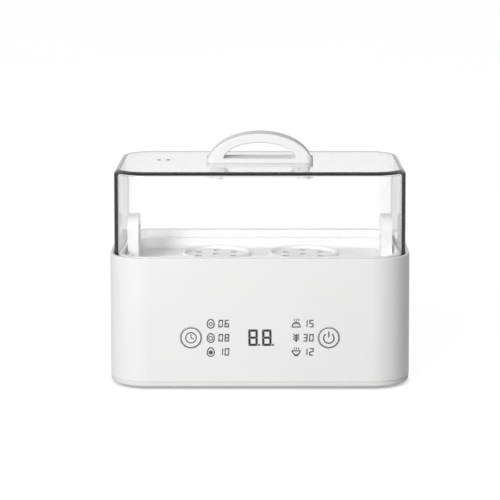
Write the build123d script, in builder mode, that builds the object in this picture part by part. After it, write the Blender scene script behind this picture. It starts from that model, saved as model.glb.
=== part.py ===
from build123d import *
import os
from math import radians, tan

os.makedirs("parts", exist_ok=True)

# Body sizes in millimetres, foot plane at height 0, front facing -Y
body_width = 204
body_depth = 117
body_radius = 26
draft_angle = 0.5
wall = 2.4
foot_drop = 2
base_edge = 3
parting_gap = 0.6
rim_height = 90
rim_round = 0.8
base_round = 1.4
parting_round = 0.5

# Rim, groove and water tub
slide_gap = 0.4
seat_gap = 0.1
fit_gap = 0.05
groove_depth = 5
flange_height = 4
upstand_width = 2.4
tray_seat_width = 3
tub_wall = 2.2
tub_floor = 50
tub_floor_thickness = 2.2
tub_corner_round = 4
ledge_thickness = 2
ledge_width = 3.4
ledge_pad_radius = 3.2
ledge_pad_place = 45
liner_screw_margin = 1.5

# Clear lid
lid_wall = 2.5
lid_top = 147
lid_draft = 0.5
lid_edge_round = 4
lid_inner_round = 2
vent_radius = 1.4
vent_pitch = 6.2
vent_x = -66.5
vent_y = 7

# Lid handle
handle_length = 73
handle_depth = 19
handle_rise = 20.2
handle_crown_thickness = 6.3
arch_half_length = 36
arch_height = 22
opening_half_length = 24.8
opening_height = 11.9
handle_edge_round = 1
handle_corner_round = 5
handle_plate_thickness = 3.2
handle_screw_pitch = 60
clamp_plate_thickness = 2.6
clamp_plate_depth = 16
clamp_boss_radius = 4.5
clamp_boss_drop = 9
clamp_boss_wall = 1.2
clamp_boss_recess = 3.5
handle_screw_radius = 1.75
handle_screw_reach = 3.8

# Egg tray
tray_thickness = 1.6
tray_depth = 6.7
tray_corner_round = 3.4
ridge_radius = 23.2
ridge_half_width = 1.5
ridge_height = 2
well_side_margin = 8.3
well_end_margin = 6.1
steam_hole_radius = 2.4
steam_hole_taper = 30
steam_ring_radius = 14.2
steam_slot_length = 8.6
steam_slot_width = 2
steam_slot_ring = 23.6
steam_slot_turn = 22
lug_margin = 1
lug_thickness = 8
lug_width = 27
lug_height = 25
lug_round = 9
lug_opening_width = 15
lug_opening_height = 9
lug_opening_drop = 6

# Heating plate group
plate_length = 132
plate_width = 72
plate_thickness = 1.2
plate_radius = 24
gasket_thickness = 1
gasket_band = 6
opening_margin = 6
tube_radius = 3.2
tube_half_spacing = 20
tube_start = -56
tube_end_centre = 30
tube_bend = 6
tube_end_height = 40
pin_radius = 1.2
pin_length = 2
stud_radius = 2
stud_place = 24
stud_end = 36.5
bracket_thickness = 1.5
bracket_width = 12
bracket_reach = 40
nut_radius = 3.6
nut_height = 3.2
thermostat_cap_radius = 7
thermostat_radius = 8.5
thermostat_cap_height = 6
thermostat_body_height = 7
sensor_radius = 2.1
sensor_length = 14
sensor_place = 35
sensor_row = 7
thermostat_blade_length = 8
thermostat_blade_width = 4
thermostat_blade_thickness = 0.8
thermostat_blade_height = 2
clip_margin = 2

# Control panel on the front
panel_height = 36.2
key_place = 46.1
key_radius = 7.2
key_gap = 0.3
key_collar_radius = 8.8
key_collar_thickness = 1
key_stem_radius = 2.2
key_travel = 0.4
label_place = 28.1
label_row = 9.6
label_cell_length = 15
label_cell_height = 6.6
window_skin = 1.2
window_room = 1
window_corner_round = 1
board_side_room = 29
board_height = 27
board_centre_height = 33.6
board_thickness = 1.6
board_corner_round = 2
board_setback = 6.6
display_length = 24
display_height = 15
display_depth = 6.2
frame_length = 72
switch_side = 6
switch_depth = 3.5
plunger_radius = 1.7
plunger_sunk = 1
running_gap = 0.08
board_boss_radius = 3.2
board_screw_inset = 6
board_screw_row = 9.5
board_screw_reach = 5
key_front_round = 0.25
key_collar_gap = 0.2
plunger_length = 1.5
plunger_rest = 0.3
lamp_length = 3.2
lamp_height = 2.8
lamp_depth = 1.9
frame_edge = 1.2
frame_gap = 0.4
chip_side = 12
chip_depth = 1.8
chip_place = 8
buzzer_radius = 6
buzzer_depth = 7
buzzer_place = 38
buzzer_vent_radius = 1
buzzer_vent_depth = 2

# Electrics on the base, each placed by its share of the board length and its offset across
power_board_length = 104
power_board_width = 56
power_board_x = -32
power_board_y = 10
power_board_height = 12
power_post_radius = 3.2
power_post_inset = 5
power_screw_reach = 5
relay_place = (-0.27, 10)
relay_size = (19, 15.5, 15.3)
transformer_place = (0.04, 9)
transformer_size = (24, 21, 16)
film_capacitor_place = (-0.29, -10)
film_capacitor_size = (18, 8, 13)
block_edge = 0.6
terminal_place = (0.35, 6)
terminal_size = (14, 20, 12)
terminal_pitch = 9
terminal_hole_radius = 1.9
terminal_hole_depth = 4
can_place = (0.23, -15)
can_radius = 5
can_height = 16
ribbon_place = (0.04, -20)
ribbon_width = 14
ribbon_thickness = 0.9
ribbon_height = 24
ribbon_bend = 3
header_length = 17
header_width = 5
header_height = 6
lead_radius = 1.1
lead_height = 33
lead_bend = 2.5

# Base, feet and screws
base_floor_thickness = 2.4
base_inset = 0.3
base_step_inset = 0.8
skirt_gap = 0.2
skirt_thickness = 1.8
skirt_top = 10
base_post_radius = 4.4
shell_boss_radius = 4
shell_boss_top = 40
boss_rib_width = 3
foot_radius = 7
foot_sink = 1.2
foot_chamfer = 0.5
foot_side = 32
foot_end = 18.5
vent_slot_length = 20
vent_slot_width = 2.5
vent_slot_bridge = 6
vent_columns = 4
vent_rows = 5
screw_seat_rise = 1.2
screw_radius = 1.5
screw_head_radius = 2.9
screw_head_height = 1.8
screw_reach = 9

# Cord gland in the rear wall
gland_side = 32
gland_height = 19
gland_bore_radius = 3.2
gland_body_radius = 5.4
gland_flange_radius = 7.4
gland_flange_thickness = 1.2
gland_collar_radius = 6.6
gland_collar_width = 2
gland_length = 5.4

# Heights and insets that follow from the sizes above
shell_bottom = foot_drop + base_edge + parting_gap
groove_floor = rim_height - groove_depth
draft_slope = tan(radians(draft_angle))
rim_shrink = (rim_height - shell_bottom) * draft_slope
lid_inset = wall + slide_gap
lid_bottom = groove_floor + seat_gap
upstand_inset = lid_inset + lid_wall + slide_gap
tray_inset = upstand_inset + upstand_width + slide_gap
tub_inset = upstand_inset + upstand_width + tray_seat_width
flange_bottom = groove_floor - flange_height
tray_top = groove_floor
tray_bottom = tray_top - tray_thickness
tray_seat = tray_bottom - seat_gap
tub_bottom = tub_floor - tub_floor_thickness
plate_bottom = tub_floor + gasket_thickness
plate_top = plate_bottom + plate_thickness
tube_height = plate_bottom - seat_gap - tube_radius
bracket_top = tube_height - tube_radius - seat_gap
bracket_bottom = bracket_top - bracket_thickness
lid_under = lid_top - lid_wall
handle_crown = lid_top + handle_rise
handle_foot = lid_top + handle_plate_thickness
base_floor_top = foot_drop + base_floor_thickness
panel_face = body_depth / 2 - (panel_height - shell_bottom) * draft_slope
panel_inner = panel_face - wall
board_front = panel_inner - board_setback
board_back = board_front - board_thickness
board_length = body_width - 2 * board_side_room
board_screw_place = board_length / 2 - board_screw_inset
foot_x = body_width / 2 - foot_side
foot_y = body_depth / 2 - foot_end
gland_x = body_width / 2 - gland_side
corner_x = body_width / 2 - body_radius
corner_y = body_depth / 2 - body_radius
post_reach = body_radius - wall - skirt_gap - base_post_radius - fit_gap
post_offset = post_reach / 2**0.5
post_places = [
    (sx * (corner_x + post_offset), sy * (corner_y + post_offset))
    for sx in (-1, 1)
    for sy in (-1, 1)
]
rim_half_width = body_width / 2 - rim_shrink
rim_half_depth = body_depth / 2 - rim_shrink
tray_half_width = rim_half_width - tray_inset
tray_half_depth = rim_half_depth - tray_inset
lug_outer = tray_half_width - lug_margin
well_column = (tray_half_width - well_side_margin - ridge_radius) / 2
well_row = tray_half_depth - well_end_margin - ridge_radius
tray_floor = tray_top - tray_depth
tray_under = tray_floor - tray_thickness
tray_wall_inset = tub_inset + slide_gap
board_screw_places = [
    (sx * board_screw_place, board_centre_height + sz * board_screw_row)
    for sx in (-1, 1)
    for sz in (-1, 1)
]
label_places = [
    (sx * label_place, panel_height + row * label_row)
    for sx in (-1, 1)
    for row in (-1, 0, 1)
]
well_places = [
    (-well_column, well_row),
    (well_column, well_row),
    (-2 * well_column, -well_row),
    (0, -well_row),
    (2 * well_column, -well_row),
]


def body_outline(inset, mode=Mode.ADD):
    RectangleRounded(
        body_width - 2 * inset,
        body_depth - 2 * inset,
        body_radius - inset,
        mode=mode,
    )


def rim_outline(inset, mode=Mode.ADD):
    body_outline(rim_shrink + inset, mode)


def front_plane(distance):
    return Plane.XZ.offset(distance)


# Outer shell with key holes, lamp windows, screw bosses and the seat of the tub
pad_inset = upstand_inset - ledge_pad_radius / 10
pad_places = [
    (sx * ledge_pad_place, sy * (rim_half_depth - pad_inset))
    for sx in (-1, 1)
    for sy in (-1, 1)
]
pad_places += [(sx * (rim_half_width - pad_inset), 0) for sx in (-1, 1)]

with BuildPart() as outer_shell:
    with BuildSketch(Plane.XY.offset(shell_bottom)):
        body_outline(0)
    extrude(amount=rim_height - shell_bottom, taper=draft_angle)
    with BuildSketch(Plane.XY.offset(shell_bottom)):
        body_outline(wall)
    extrude(amount=rim_height - shell_bottom, taper=draft_angle, mode=Mode.SUBTRACT)
    fillet(outer_shell.edges().group_by(Axis.Z)[-1], rim_round)
    outer_loop = outer_shell.faces().sort_by(Axis.Z)[0].outer_wire()
    fillet(outer_loop.edges(), parting_round)
    with BuildSketch(Plane.XY.offset(flange_bottom - ledge_thickness)):
        rim_outline(wall / 2)
        rim_outline(wall + ledge_width, Mode.SUBTRACT)
        with Locations(*pad_places):
            Circle(ledge_pad_radius)
        with Locations(*pad_places):
            Circle(screw_radius + fit_gap, mode=Mode.SUBTRACT)
    extrude(amount=ledge_thickness)
    with BuildSketch(Plane.XY.offset(skirt_top)):
        with Locations(*post_places):
            Circle(shell_boss_radius)
        with Locations(*post_places):
            Circle(screw_radius + fit_gap, mode=Mode.SUBTRACT)
    extrude(amount=shell_boss_top - skirt_top)
    rib_reach = body_radius - wall / 2 - post_reach
    rib_start = (screw_radius + shell_boss_radius) / 2
    for place_x, place_y in post_places:
        side = 1 if place_x > 0 else -1
        turn = 45 if place_x * place_y > 0 else -45
        with BuildSketch(Plane.XY.offset(skirt_top)):
            with Locations(Location((place_x, place_y, 0), (0, 0, turn))):
                with Locations((side * (rib_start + rib_reach) / 2, 0)):
                    Rectangle(rib_reach - rib_start, boss_rib_width)
        extrude(amount=shell_boss_top - skirt_top)
    with BuildSketch(front_plane(board_front)):
        with Locations(*board_screw_places):
            Circle(board_boss_radius)
        with Locations(*board_screw_places):
            Circle(screw_radius + fit_gap, mode=Mode.SUBTRACT)
    extrude(amount=board_setback + wall / 2)
    with BuildSketch(front_plane(body_depth / 2)):
        with Locations((-key_place, panel_height), (key_place, panel_height)):
            Circle(key_radius + key_gap)
    extrude(amount=-2 * wall, mode=Mode.SUBTRACT)
    with BuildSketch(front_plane(panel_face - window_skin)):
        with Locations((0, panel_height)):
            RectangleRounded(
                display_length + window_room,
                display_height + window_room,
                window_corner_round,
            )
        with Locations(*label_places):
            RectangleRounded(label_cell_length, label_cell_height, window_corner_round)
    extrude(amount=-wall, mode=Mode.SUBTRACT)
    with BuildSketch(Plane.XZ.offset(-body_depth / 2)):
        with Locations((gland_x, gland_height)):
            Circle(gland_body_radius + fit_gap)
    extrude(amount=2 * wall, mode=Mode.SUBTRACT)
    with BuildSketch(Plane.XZ.offset(-body_depth / 2)):
        with Locations((gland_x, gland_height)):
            Circle(gland_flange_radius + fit_gap)
    extrude(amount=gland_flange_thickness + seat_gap, mode=Mode.SUBTRACT)

# Water tub with the groove for the lid and the seat for the tray
with BuildPart() as tub_space:
    with BuildSketch(Plane.XY.offset(tub_floor)):
        rim_outline(tub_inset)
    extrude(amount=rim_height - tub_floor)
    fillet(tub_space.edges().group_by(Axis.Z)[0], tub_corner_round)

with BuildPart() as inner_liner:
    with BuildSketch(Plane.XY.offset(flange_bottom)):
        rim_outline(wall + slide_gap / 2)
    extrude(amount=flange_height)
    with BuildSketch(Plane.XY.offset(flange_bottom)):
        rim_outline(upstand_inset)
    extrude(amount=rim_height - flange_bottom)
    fillet(inner_liner.edges().group_by(Axis.Z)[-1], rim_round)
    with BuildSketch(Plane.XY.offset(tub_bottom)):
        rim_outline(tub_inset - tub_wall)
    extrude(amount=flange_bottom - tub_bottom)
    with BuildSketch(Plane.XY.offset(tray_seat)):
        rim_outline(upstand_inset + upstand_width)
    extrude(amount=rim_height - tray_seat, mode=Mode.SUBTRACT)
    add(tub_space.part, mode=Mode.SUBTRACT)
    with BuildSketch(Plane.XY.offset(tub_bottom)):
        RectangleRounded(
            plate_length - 2 * opening_margin,
            plate_width - 2 * opening_margin,
            plate_radius - opening_margin,
        )
    extrude(amount=tub_floor_thickness, mode=Mode.SUBTRACT)
    with BuildSketch(Plane.XY.offset(flange_bottom)):
        with Locations(*pad_places):
            Circle(screw_radius + fit_gap)
    extrude(amount=flange_height - liner_screw_margin / 2, mode=Mode.SUBTRACT)


def screws_up(places, seat, shank_radius, length, head_radius, head_height):
    with BuildPart() as screws:
        with Locations(*[(x, y, seat) for x, y in places]):
            Cylinder(shank_radius, length, align=(Align.CENTER, Align.CENTER, Align.MIN))
        with Locations(*[(x, y, seat) for x, y in places]):
            Cylinder(head_radius, head_height, align=(Align.CENTER, Align.CENTER, Align.MAX))
    return screws


# Screws that hold the tub to the ledge of the shell
liner_screws = screws_up(
    pad_places,
    flange_bottom - ledge_thickness,
    screw_radius,
    ledge_thickness + flange_height - liner_screw_margin,
    screw_head_radius,
    screw_head_height,
)

# Seal between the tub floor and the heating plate
with BuildPart() as plate_gasket:
    with BuildSketch(Plane.XY.offset(tub_floor)):
        RectangleRounded(plate_length, plate_width, plate_radius)
        RectangleRounded(
            plate_length - 2 * gasket_band,
            plate_width - 2 * gasket_band,
            plate_radius - gasket_band,
            mode=Mode.SUBTRACT,
        )
    extrude(amount=gasket_thickness)

# Heating plate with its two welded studs
with BuildPart() as heating_plate:
    with BuildSketch(Plane.XY.offset(plate_bottom)):
        RectangleRounded(plate_length, plate_width, plate_radius)
    extrude(amount=plate_thickness)
    fillet(heating_plate.edges().group_by(Axis.Z)[-1], plate_thickness / 2)
    with BuildSketch(Plane.XY.offset(stud_end)):
        with Locations((-stud_place, 0), (stud_place, 0)):
            Circle(stud_radius)
    extrude(amount=plate_bottom - stud_end)

# Tubular heater bent to a U under the plate, with its connection pins
with BuildPart() as heating_tube:
    with BuildLine() as tube_path:
        FilletPolyline(
            (tube_start, -tube_half_spacing, tube_end_height),
            (tube_start, -tube_half_spacing, tube_height),
            (tube_end_centre, -tube_half_spacing, tube_height),
            radius=tube_bend,
        )
        ThreePointArc(
            (tube_end_centre, -tube_half_spacing, tube_height),
            (tube_end_centre + tube_half_spacing, 0, tube_height),
            (tube_end_centre, tube_half_spacing, tube_height),
        )
        FilletPolyline(
            (tube_end_centre, tube_half_spacing, tube_height),
            (tube_start, tube_half_spacing, tube_height),
            (tube_start, tube_half_spacing, tube_end_height),
            radius=tube_bend,
        )
    with BuildSketch(Plane.XY.offset(tube_end_height)):
        with Locations((tube_start, -tube_half_spacing)):
            Circle(tube_radius)
    sweep(path=tube_path.wire())
    with BuildSketch(Plane.XY.offset(tube_end_height)):
        with Locations((tube_start, -tube_half_spacing), (tube_start, tube_half_spacing)):
            Circle(pin_radius)
    extrude(amount=-pin_length)

# Two hat-shaped straps that press the tube and the plate down on the tub floor
leg_height = tub_bottom - bracket_bottom
leg_place = plate_width / 2 - opening_margin + bracket_thickness
with BuildPart() as plate_brackets:
    for side in (-1, 1):
        with BuildSketch(Plane.YZ.offset(side * stud_place - bracket_width / 2)):
            with Locations((0, bracket_bottom + bracket_thickness / 2)):
                Rectangle(2 * leg_place, bracket_thickness)
            with Locations((-leg_place, 0), (leg_place, 0)):
                with Locations((0, bracket_bottom + leg_height / 2)):
                    Rectangle(bracket_thickness, leg_height)
            for end in (-1, 1):
                with Locations((end * (leg_place + bracket_reach) / 2, tub_bottom - bracket_thickness / 2)):
                    Rectangle(bracket_reach - leg_place, bracket_thickness)
        extrude(amount=bracket_width)
    with BuildSketch(Plane.XY.offset(bracket_bottom)):
        with Locations((-stud_place, 0), (stud_place, 0)):
            Circle(stud_radius + fit_gap)
    extrude(amount=bracket_thickness, mode=Mode.SUBTRACT)

# Thermostat pressed against the middle of the plate
thermostat_bottom = plate_bottom - seat_gap - thermostat_cap_height - thermostat_body_height
with BuildPart() as thermostat:
    with Locations((0, 0, thermostat_bottom + thermostat_body_height)):
        Cylinder(
            thermostat_cap_radius,
            thermostat_cap_height,
            align=(Align.CENTER, Align.CENTER, Align.MIN),
        )
    with Locations((0, 0, thermostat_bottom)):
        Cylinder(
            thermostat_radius,
            thermostat_body_height,
            align=(Align.CENTER, Align.CENTER, Align.MIN),
        )
    for side in (-1, 1):
        with Locations((0, side * thermostat_radius, thermostat_bottom + thermostat_blade_height)):
            Box(thermostat_blade_width, thermostat_blade_length, thermostat_blade_thickness)

# Strap under the thermostat, held by the plate studs
clip_width = bracket_width - 2 * clip_margin
clip_half = thermostat_radius + clip_margin
clip_end = stud_place + stud_radius + clip_margin
clip_top = bracket_bottom
with BuildPart() as thermostat_clip:
    with BuildSketch(Plane.XZ.offset(-clip_width / 2)):
        with Locations((0, thermostat_bottom - bracket_thickness / 2)):
            Rectangle(2 * clip_half, bracket_thickness)
        for side in (-1, 1):
            with Locations((side * clip_half, (thermostat_bottom + clip_top) / 2 - bracket_thickness / 2)):
                Rectangle(bracket_thickness, clip_top - thermostat_bottom + bracket_thickness)
            with Locations((side * (clip_half + clip_end) / 2, clip_top - bracket_thickness / 2)):
                Rectangle(clip_end - clip_half, bracket_thickness)
    extrude(amount=clip_width)
    with BuildSketch(Plane.XY.offset(clip_top)):
        with Locations((-stud_place, 0), (stud_place, 0)):
            Circle(stud_radius + fit_gap)
    extrude(amount=-bracket_thickness, mode=Mode.SUBTRACT)

# Nuts on the plate studs
with BuildPart() as plate_nuts:
    with BuildSketch(Plane.XY.offset(clip_top - bracket_thickness)):
        with Locations((-stud_place, 0), (stud_place, 0)):
            RegularPolygon(nut_radius, 6)
        with Locations((-stud_place, 0), (stud_place, 0)):
            Circle(stud_radius + fit_gap, mode=Mode.SUBTRACT)
    extrude(amount=-nut_height)


def sensor(row):
    with BuildPart() as body:
        with Locations((sensor_place, row, plate_bottom - seat_gap - sensor_radius)):
            Cylinder(sensor_radius, sensor_length, rotation=(0, 90, 0))
    return body


# Thermal fuse and temperature probe against the plate
thermal_fuse = sensor(sensor_row)
ntc_probe = sensor(-sensor_row)


def key(side):
    collar_front = panel_inner - key_collar_gap
    stem_end = board_front + switch_depth + plunger_length
    with BuildPart() as cap:
        with BuildSketch(front_plane(panel_face)):
            with Locations((side * key_place, panel_height)):
                Circle(key_radius)
        extrude(amount=-(panel_face - collar_front))
        fillet(cap.edges().group_by(Axis.Y)[0], key_front_round)
        with BuildSketch(front_plane(collar_front)):
            with Locations((side * key_place, panel_height)):
                Circle(key_collar_radius)
        extrude(amount=-key_collar_thickness)
        with BuildSketch(front_plane(stem_end)):
            with Locations((side * key_place, panel_height)):
                Circle(key_stem_radius)
        extrude(amount=collar_front - key_collar_thickness - stem_end)
    return cap


def plunger(side):
    with BuildPart() as pin:
        with BuildSketch(front_plane(board_front + switch_depth - plunger_sunk)):
            with Locations((side * key_place, panel_height)):
                Circle(plunger_radius)
        extrude(amount=plunger_sunk + plunger_length)
    return pin


def switch(side):
    with BuildPart() as housing:
        with BuildSketch(front_plane(board_front)):
            with Locations((side * key_place, panel_height)):
                Rectangle(switch_side, switch_side)
        extrude(amount=switch_depth)
        with BuildSketch(front_plane(board_front + switch_depth)):
            with Locations((side * key_place, panel_height)):
                Circle(plunger_radius + running_gap)
        extrude(amount=-(plunger_sunk + key_travel + plunger_rest), mode=Mode.SUBTRACT)
    return housing


# Keys on the front with the switches behind them
left_key = key(-1)
right_key = key(1)
left_plunger = plunger(-1)
right_plunger = plunger(1)
left_switch = switch(-1)
right_switch = switch(1)

# Control board behind the front wall
with BuildPart() as control_board:
    with BuildSketch(front_plane(board_back)):
        with Locations((0, board_centre_height)):
            RectangleRounded(board_length, board_height, board_corner_round)
        with Locations(*board_screw_places):
            Circle(screw_radius + fit_gap, mode=Mode.SUBTRACT)
    extrude(amount=board_thickness)

# Screws that hold the control board to the shell
with BuildPart() as board_screws:
    with BuildSketch(front_plane(board_back)):
        with Locations(*board_screw_places):
            Circle(screw_radius)
    extrude(amount=board_thickness + board_screw_reach)
    with BuildSketch(front_plane(board_back)):
        with Locations(*board_screw_places):
            Circle(screw_head_radius)
    extrude(amount=-screw_head_height)

# Two-digit display module
with BuildPart() as led_display:
    with BuildSketch(front_plane(board_front)):
        with Locations((0, panel_height)):
            Rectangle(display_length, display_height)
    extrude(amount=display_depth)

# Six lamps behind the labels
with BuildPart() as indicator_leds:
    with BuildSketch(front_plane(board_front)):
        with Locations(*label_places):
            Rectangle(lamp_length, lamp_height)
    extrude(amount=lamp_depth)

# Frame that keeps the light of each lamp in its own cell
frame_front = panel_inner - frame_gap
frame_height = 2 * label_row + label_cell_height + 2 * frame_edge
with BuildPart() as lamp_frame:
    with BuildSketch(front_plane(board_front)):
        with Locations((0, panel_height)):
            RectangleRounded(frame_length, frame_height, frame_edge)
        with Locations((0, panel_height)):
            Rectangle(
                display_length + frame_gap,
                display_height + frame_gap,
                mode=Mode.SUBTRACT,
            )
        with Locations(*label_places):
            RectangleRounded(
                label_cell_length - 2 * frame_edge,
                label_cell_height - frame_edge,
                frame_edge / 2,
                mode=Mode.SUBTRACT,
            )
    extrude(amount=frame_front - board_front)

# Controller chip and buzzer on the back of the board
with BuildPart() as controller_chip:
    with BuildSketch(front_plane(board_back)):
        with Locations((chip_place, board_centre_height)):
            Rectangle(chip_side, chip_side)
    extrude(amount=-chip_depth)

with BuildPart() as buzzer:
    with BuildSketch(front_plane(board_back)):
        with Locations((buzzer_place, board_centre_height)):
            Circle(buzzer_radius)
    extrude(amount=-buzzer_depth)
    with BuildSketch(front_plane(board_back - buzzer_depth)):
        with Locations((buzzer_place, board_centre_height)):
            Circle(buzzer_vent_radius)
    extrude(amount=buzzer_vent_depth, mode=Mode.SUBTRACT)

# Base plate with posts, vents, foot pockets and the skirt inside the shell
power_posts = [
    (
        power_board_x + sx * (power_board_length / 2 - power_post_inset),
        power_board_y + sy * (power_board_width / 2 - power_post_inset),
    )
    for sx in (-1, 1)
    for sy in (-1, 1)
]
foot_places = [(sx * foot_x, sy * foot_y) for sx in (-1, 1) for sy in (-1, 1)]
screw_seat = base_floor_top + screw_seat_rise
with BuildPart() as base_plate:
    with BuildSketch(Plane.XY.offset(foot_drop)):
        body_outline(base_inset)
    extrude(amount=base_edge)
    fillet(base_plate.edges().group_by(Axis.Z)[0], base_round)
    with BuildSketch(Plane.XY.offset(foot_drop + base_edge)):
        body_outline(base_step_inset)
    extrude(amount=parting_gap)
    with BuildSketch(Plane.XY.offset(shell_bottom)):
        body_outline(wall + skirt_gap)
    extrude(amount=skirt_top - shell_bottom)
    with BuildSketch(Plane.XY.offset(base_floor_top)):
        body_outline(wall + skirt_gap + skirt_thickness)
    extrude(amount=skirt_top - base_floor_top, mode=Mode.SUBTRACT)
    with BuildSketch(Plane.XY.offset(base_floor_top)):
        with Locations(*post_places):
            Circle(base_post_radius)
    extrude(amount=skirt_top - base_floor_top)
    with BuildSketch(Plane.XY.offset(foot_drop)):
        with Locations(*post_places):
            Circle(screw_radius + fit_gap)
    extrude(amount=skirt_top, mode=Mode.SUBTRACT)
    with BuildSketch(Plane.XY.offset(foot_drop)):
        with Locations(*post_places):
            Circle(screw_head_radius + slide_gap)
    extrude(amount=screw_seat - foot_drop, mode=Mode.SUBTRACT)
    with BuildSketch(Plane.XY.offset(base_floor_top)):
        with Locations(*power_posts):
            Circle(power_post_radius)
    extrude(amount=power_board_height - base_floor_top)
    with BuildSketch(Plane.XY.offset(base_floor_top)):
        with Locations(*power_posts):
            Circle(screw_radius + fit_gap)
    extrude(amount=power_board_height, mode=Mode.SUBTRACT)
    with BuildSketch(Plane.XY.offset(foot_drop)):
        with Locations(*foot_places):
            Circle(foot_radius + fit_gap)
    extrude(amount=foot_sink, mode=Mode.SUBTRACT)
    with BuildSketch(Plane.XY.offset(foot_drop)):
        with GridLocations(
            vent_slot_length + vent_slot_bridge,
            3 * vent_slot_width,
            vent_columns,
            vent_rows,
        ):
            SlotOverall(vent_slot_length, vent_slot_width)
    extrude(amount=base_floor_thickness, mode=Mode.SUBTRACT)

# Screws that join the base plate and the shell
base_screws = screws_up(
    post_places,
    screw_seat,
    screw_radius,
    skirt_top - screw_seat + screw_reach,
    screw_head_radius,
    screw_head_height,
)

# Feet
with BuildPart() as rubber_feet:
    with BuildSketch(Plane.XY):
        with Locations(*foot_places):
            Circle(foot_radius)
    extrude(amount=foot_drop + foot_sink)
    chamfer(rubber_feet.edges().group_by(Axis.Z)[0], foot_chamfer)

# Power board with its screws and the parts that stand on it
power_board_top = power_board_height + board_thickness
with BuildPart() as power_board:
    with BuildSketch(Plane.XY.offset(power_board_height)):
        with Locations((power_board_x, power_board_y)):
            RectangleRounded(power_board_length, power_board_width, board_corner_round)
        with Locations(*power_posts):
            Circle(screw_radius + fit_gap, mode=Mode.SUBTRACT)
    extrude(amount=board_thickness)

with BuildPart() as power_screws:
    with BuildSketch(Plane.XY.offset(power_board_top)):
        with Locations(*power_posts):
            Circle(screw_radius)
    extrude(amount=-board_thickness - power_screw_reach)
    with BuildSketch(Plane.XY.offset(power_board_top)):
        with Locations(*power_posts):
            Circle(screw_head_radius)
    extrude(amount=screw_head_height)


def on_board(place):
    share, across = place
    return (power_board_x + share * power_board_length, power_board_y + across)


def board_block(place, size):
    length, width, height = size
    with BuildPart() as block:
        with BuildSketch(Plane.XY.offset(power_board_top)):
            with Locations(on_board(place)):
                Rectangle(length, width)
        extrude(amount=height)
        chamfer(block.edges().group_by(Axis.Z)[-1], block_edge)
    return block


relay = board_block(relay_place, relay_size)
transformer = board_block(transformer_place, transformer_size)
film_capacitor = board_block(film_capacitor_place, film_capacitor_size)

with BuildPart() as terminal_block:
    with BuildSketch(Plane.XY.offset(power_board_top)):
        with Locations(on_board(terminal_place)):
            Rectangle(terminal_size[0], terminal_size[1])
    extrude(amount=terminal_size[2])
    with BuildSketch(Plane.XY.offset(power_board_top + terminal_size[2])):
        with Locations(on_board(terminal_place)):
            with GridLocations(0, terminal_pitch, 1, 2):
                Circle(terminal_hole_radius)
    extrude(amount=-terminal_hole_depth, mode=Mode.SUBTRACT)

with BuildPart() as smoothing_capacitor:
    with BuildSketch(Plane.XY.offset(power_board_top)):
        with Locations(on_board(can_place)):
            Circle(can_radius)
    extrude(amount=can_height)
    fillet(smoothing_capacitor.edges().group_by(Axis.Z)[-1], block_edge)

# Ribbon cable between the boards and the two headers it plugs into
ribbon_x, ribbon_y = on_board(ribbon_place)
header_top = power_board_top + header_height
header_back = board_back - header_height
with BuildPart() as cable_headers:
    with BuildSketch(Plane.XY.offset(power_board_top)):
        with Locations((ribbon_x, ribbon_y)):
            Rectangle(header_length, header_width)
    extrude(amount=header_height)
    with BuildSketch(front_plane(board_back)):
        with Locations((ribbon_x, ribbon_height)):
            Rectangle(header_length, header_width)
    extrude(amount=-header_height)

with BuildPart() as ribbon_cable:
    with BuildLine() as ribbon_path:
        FilletPolyline(
            (ribbon_x, ribbon_y, header_top),
            (ribbon_x, ribbon_y, ribbon_height),
            (ribbon_x, -header_back, ribbon_height),
            radius=ribbon_bend,
        )
    with BuildSketch(Plane.XY.offset(header_top)):
        with Locations((ribbon_x, ribbon_y)):
            Rectangle(ribbon_width, ribbon_thickness)
    sweep(path=ribbon_path.wire())

# Leads from the terminal block to the pins of the heater
pin_end = tube_end_height - pin_length
lead_start = power_board_top + terminal_size[2] - terminal_hole_depth + seat_gap
lead_x, terminal_y = on_board(terminal_place)
with BuildPart() as heater_leads:
    for side in (-1, 1):
        lead_y = terminal_y + side * terminal_pitch / 2
        with BuildLine() as lead_path:
            FilletPolyline(
                (lead_x, lead_y, lead_start),
                (lead_x, lead_y, lead_height),
                (tube_start, side * tube_half_spacing, lead_height),
                (tube_start, side * tube_half_spacing, pin_end - seat_gap),
                radius=lead_bend,
            )
        with BuildSketch(Plane.XY.offset(lead_start)):
            with Locations((lead_x, lead_y)):
                Circle(lead_radius)
        sweep(path=lead_path.wire())

# Gland for the supply cord, flush with the rear face
gland_face = body_depth / 2 - (gland_height - shell_bottom) * draft_slope
with BuildPart() as cord_gland:
    with BuildSketch(Plane.XZ.offset(-gland_face)):
        with Locations((gland_x, gland_height)):
            Circle(gland_flange_radius)
    extrude(amount=gland_flange_thickness - seat_gap)
    with BuildSketch(Plane.XZ.offset(-gland_face)):
        with Locations((gland_x, gland_height)):
            Circle(gland_body_radius)
    extrude(amount=gland_length)
    with BuildSketch(Plane.XZ.offset(wall + seat_gap - gland_face)):
        with Locations((gland_x, gland_height)):
            Circle(gland_collar_radius)
    extrude(amount=gland_collar_width)
    with BuildSketch(Plane.XZ.offset(-gland_face)):
        with Locations((gland_x, gland_height)):
            Circle(gland_bore_radius)
    extrude(amount=gland_length, mode=Mode.SUBTRACT)

# Ridge round each well of the tray
with BuildPart() as well_ridges:
    with BuildSketch(Plane.XZ):
        with BuildLine():
            ThreePointArc(
                (ridge_radius - ridge_half_width, tray_floor),
                (ridge_radius, tray_floor + ridge_height),
                (ridge_radius + ridge_half_width, tray_floor),
            )
            Line(
                (ridge_radius + ridge_half_width, tray_floor),
                (ridge_radius - ridge_half_width, tray_floor),
            )
        make_face()
    revolve(axis=Axis.Z)

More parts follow.
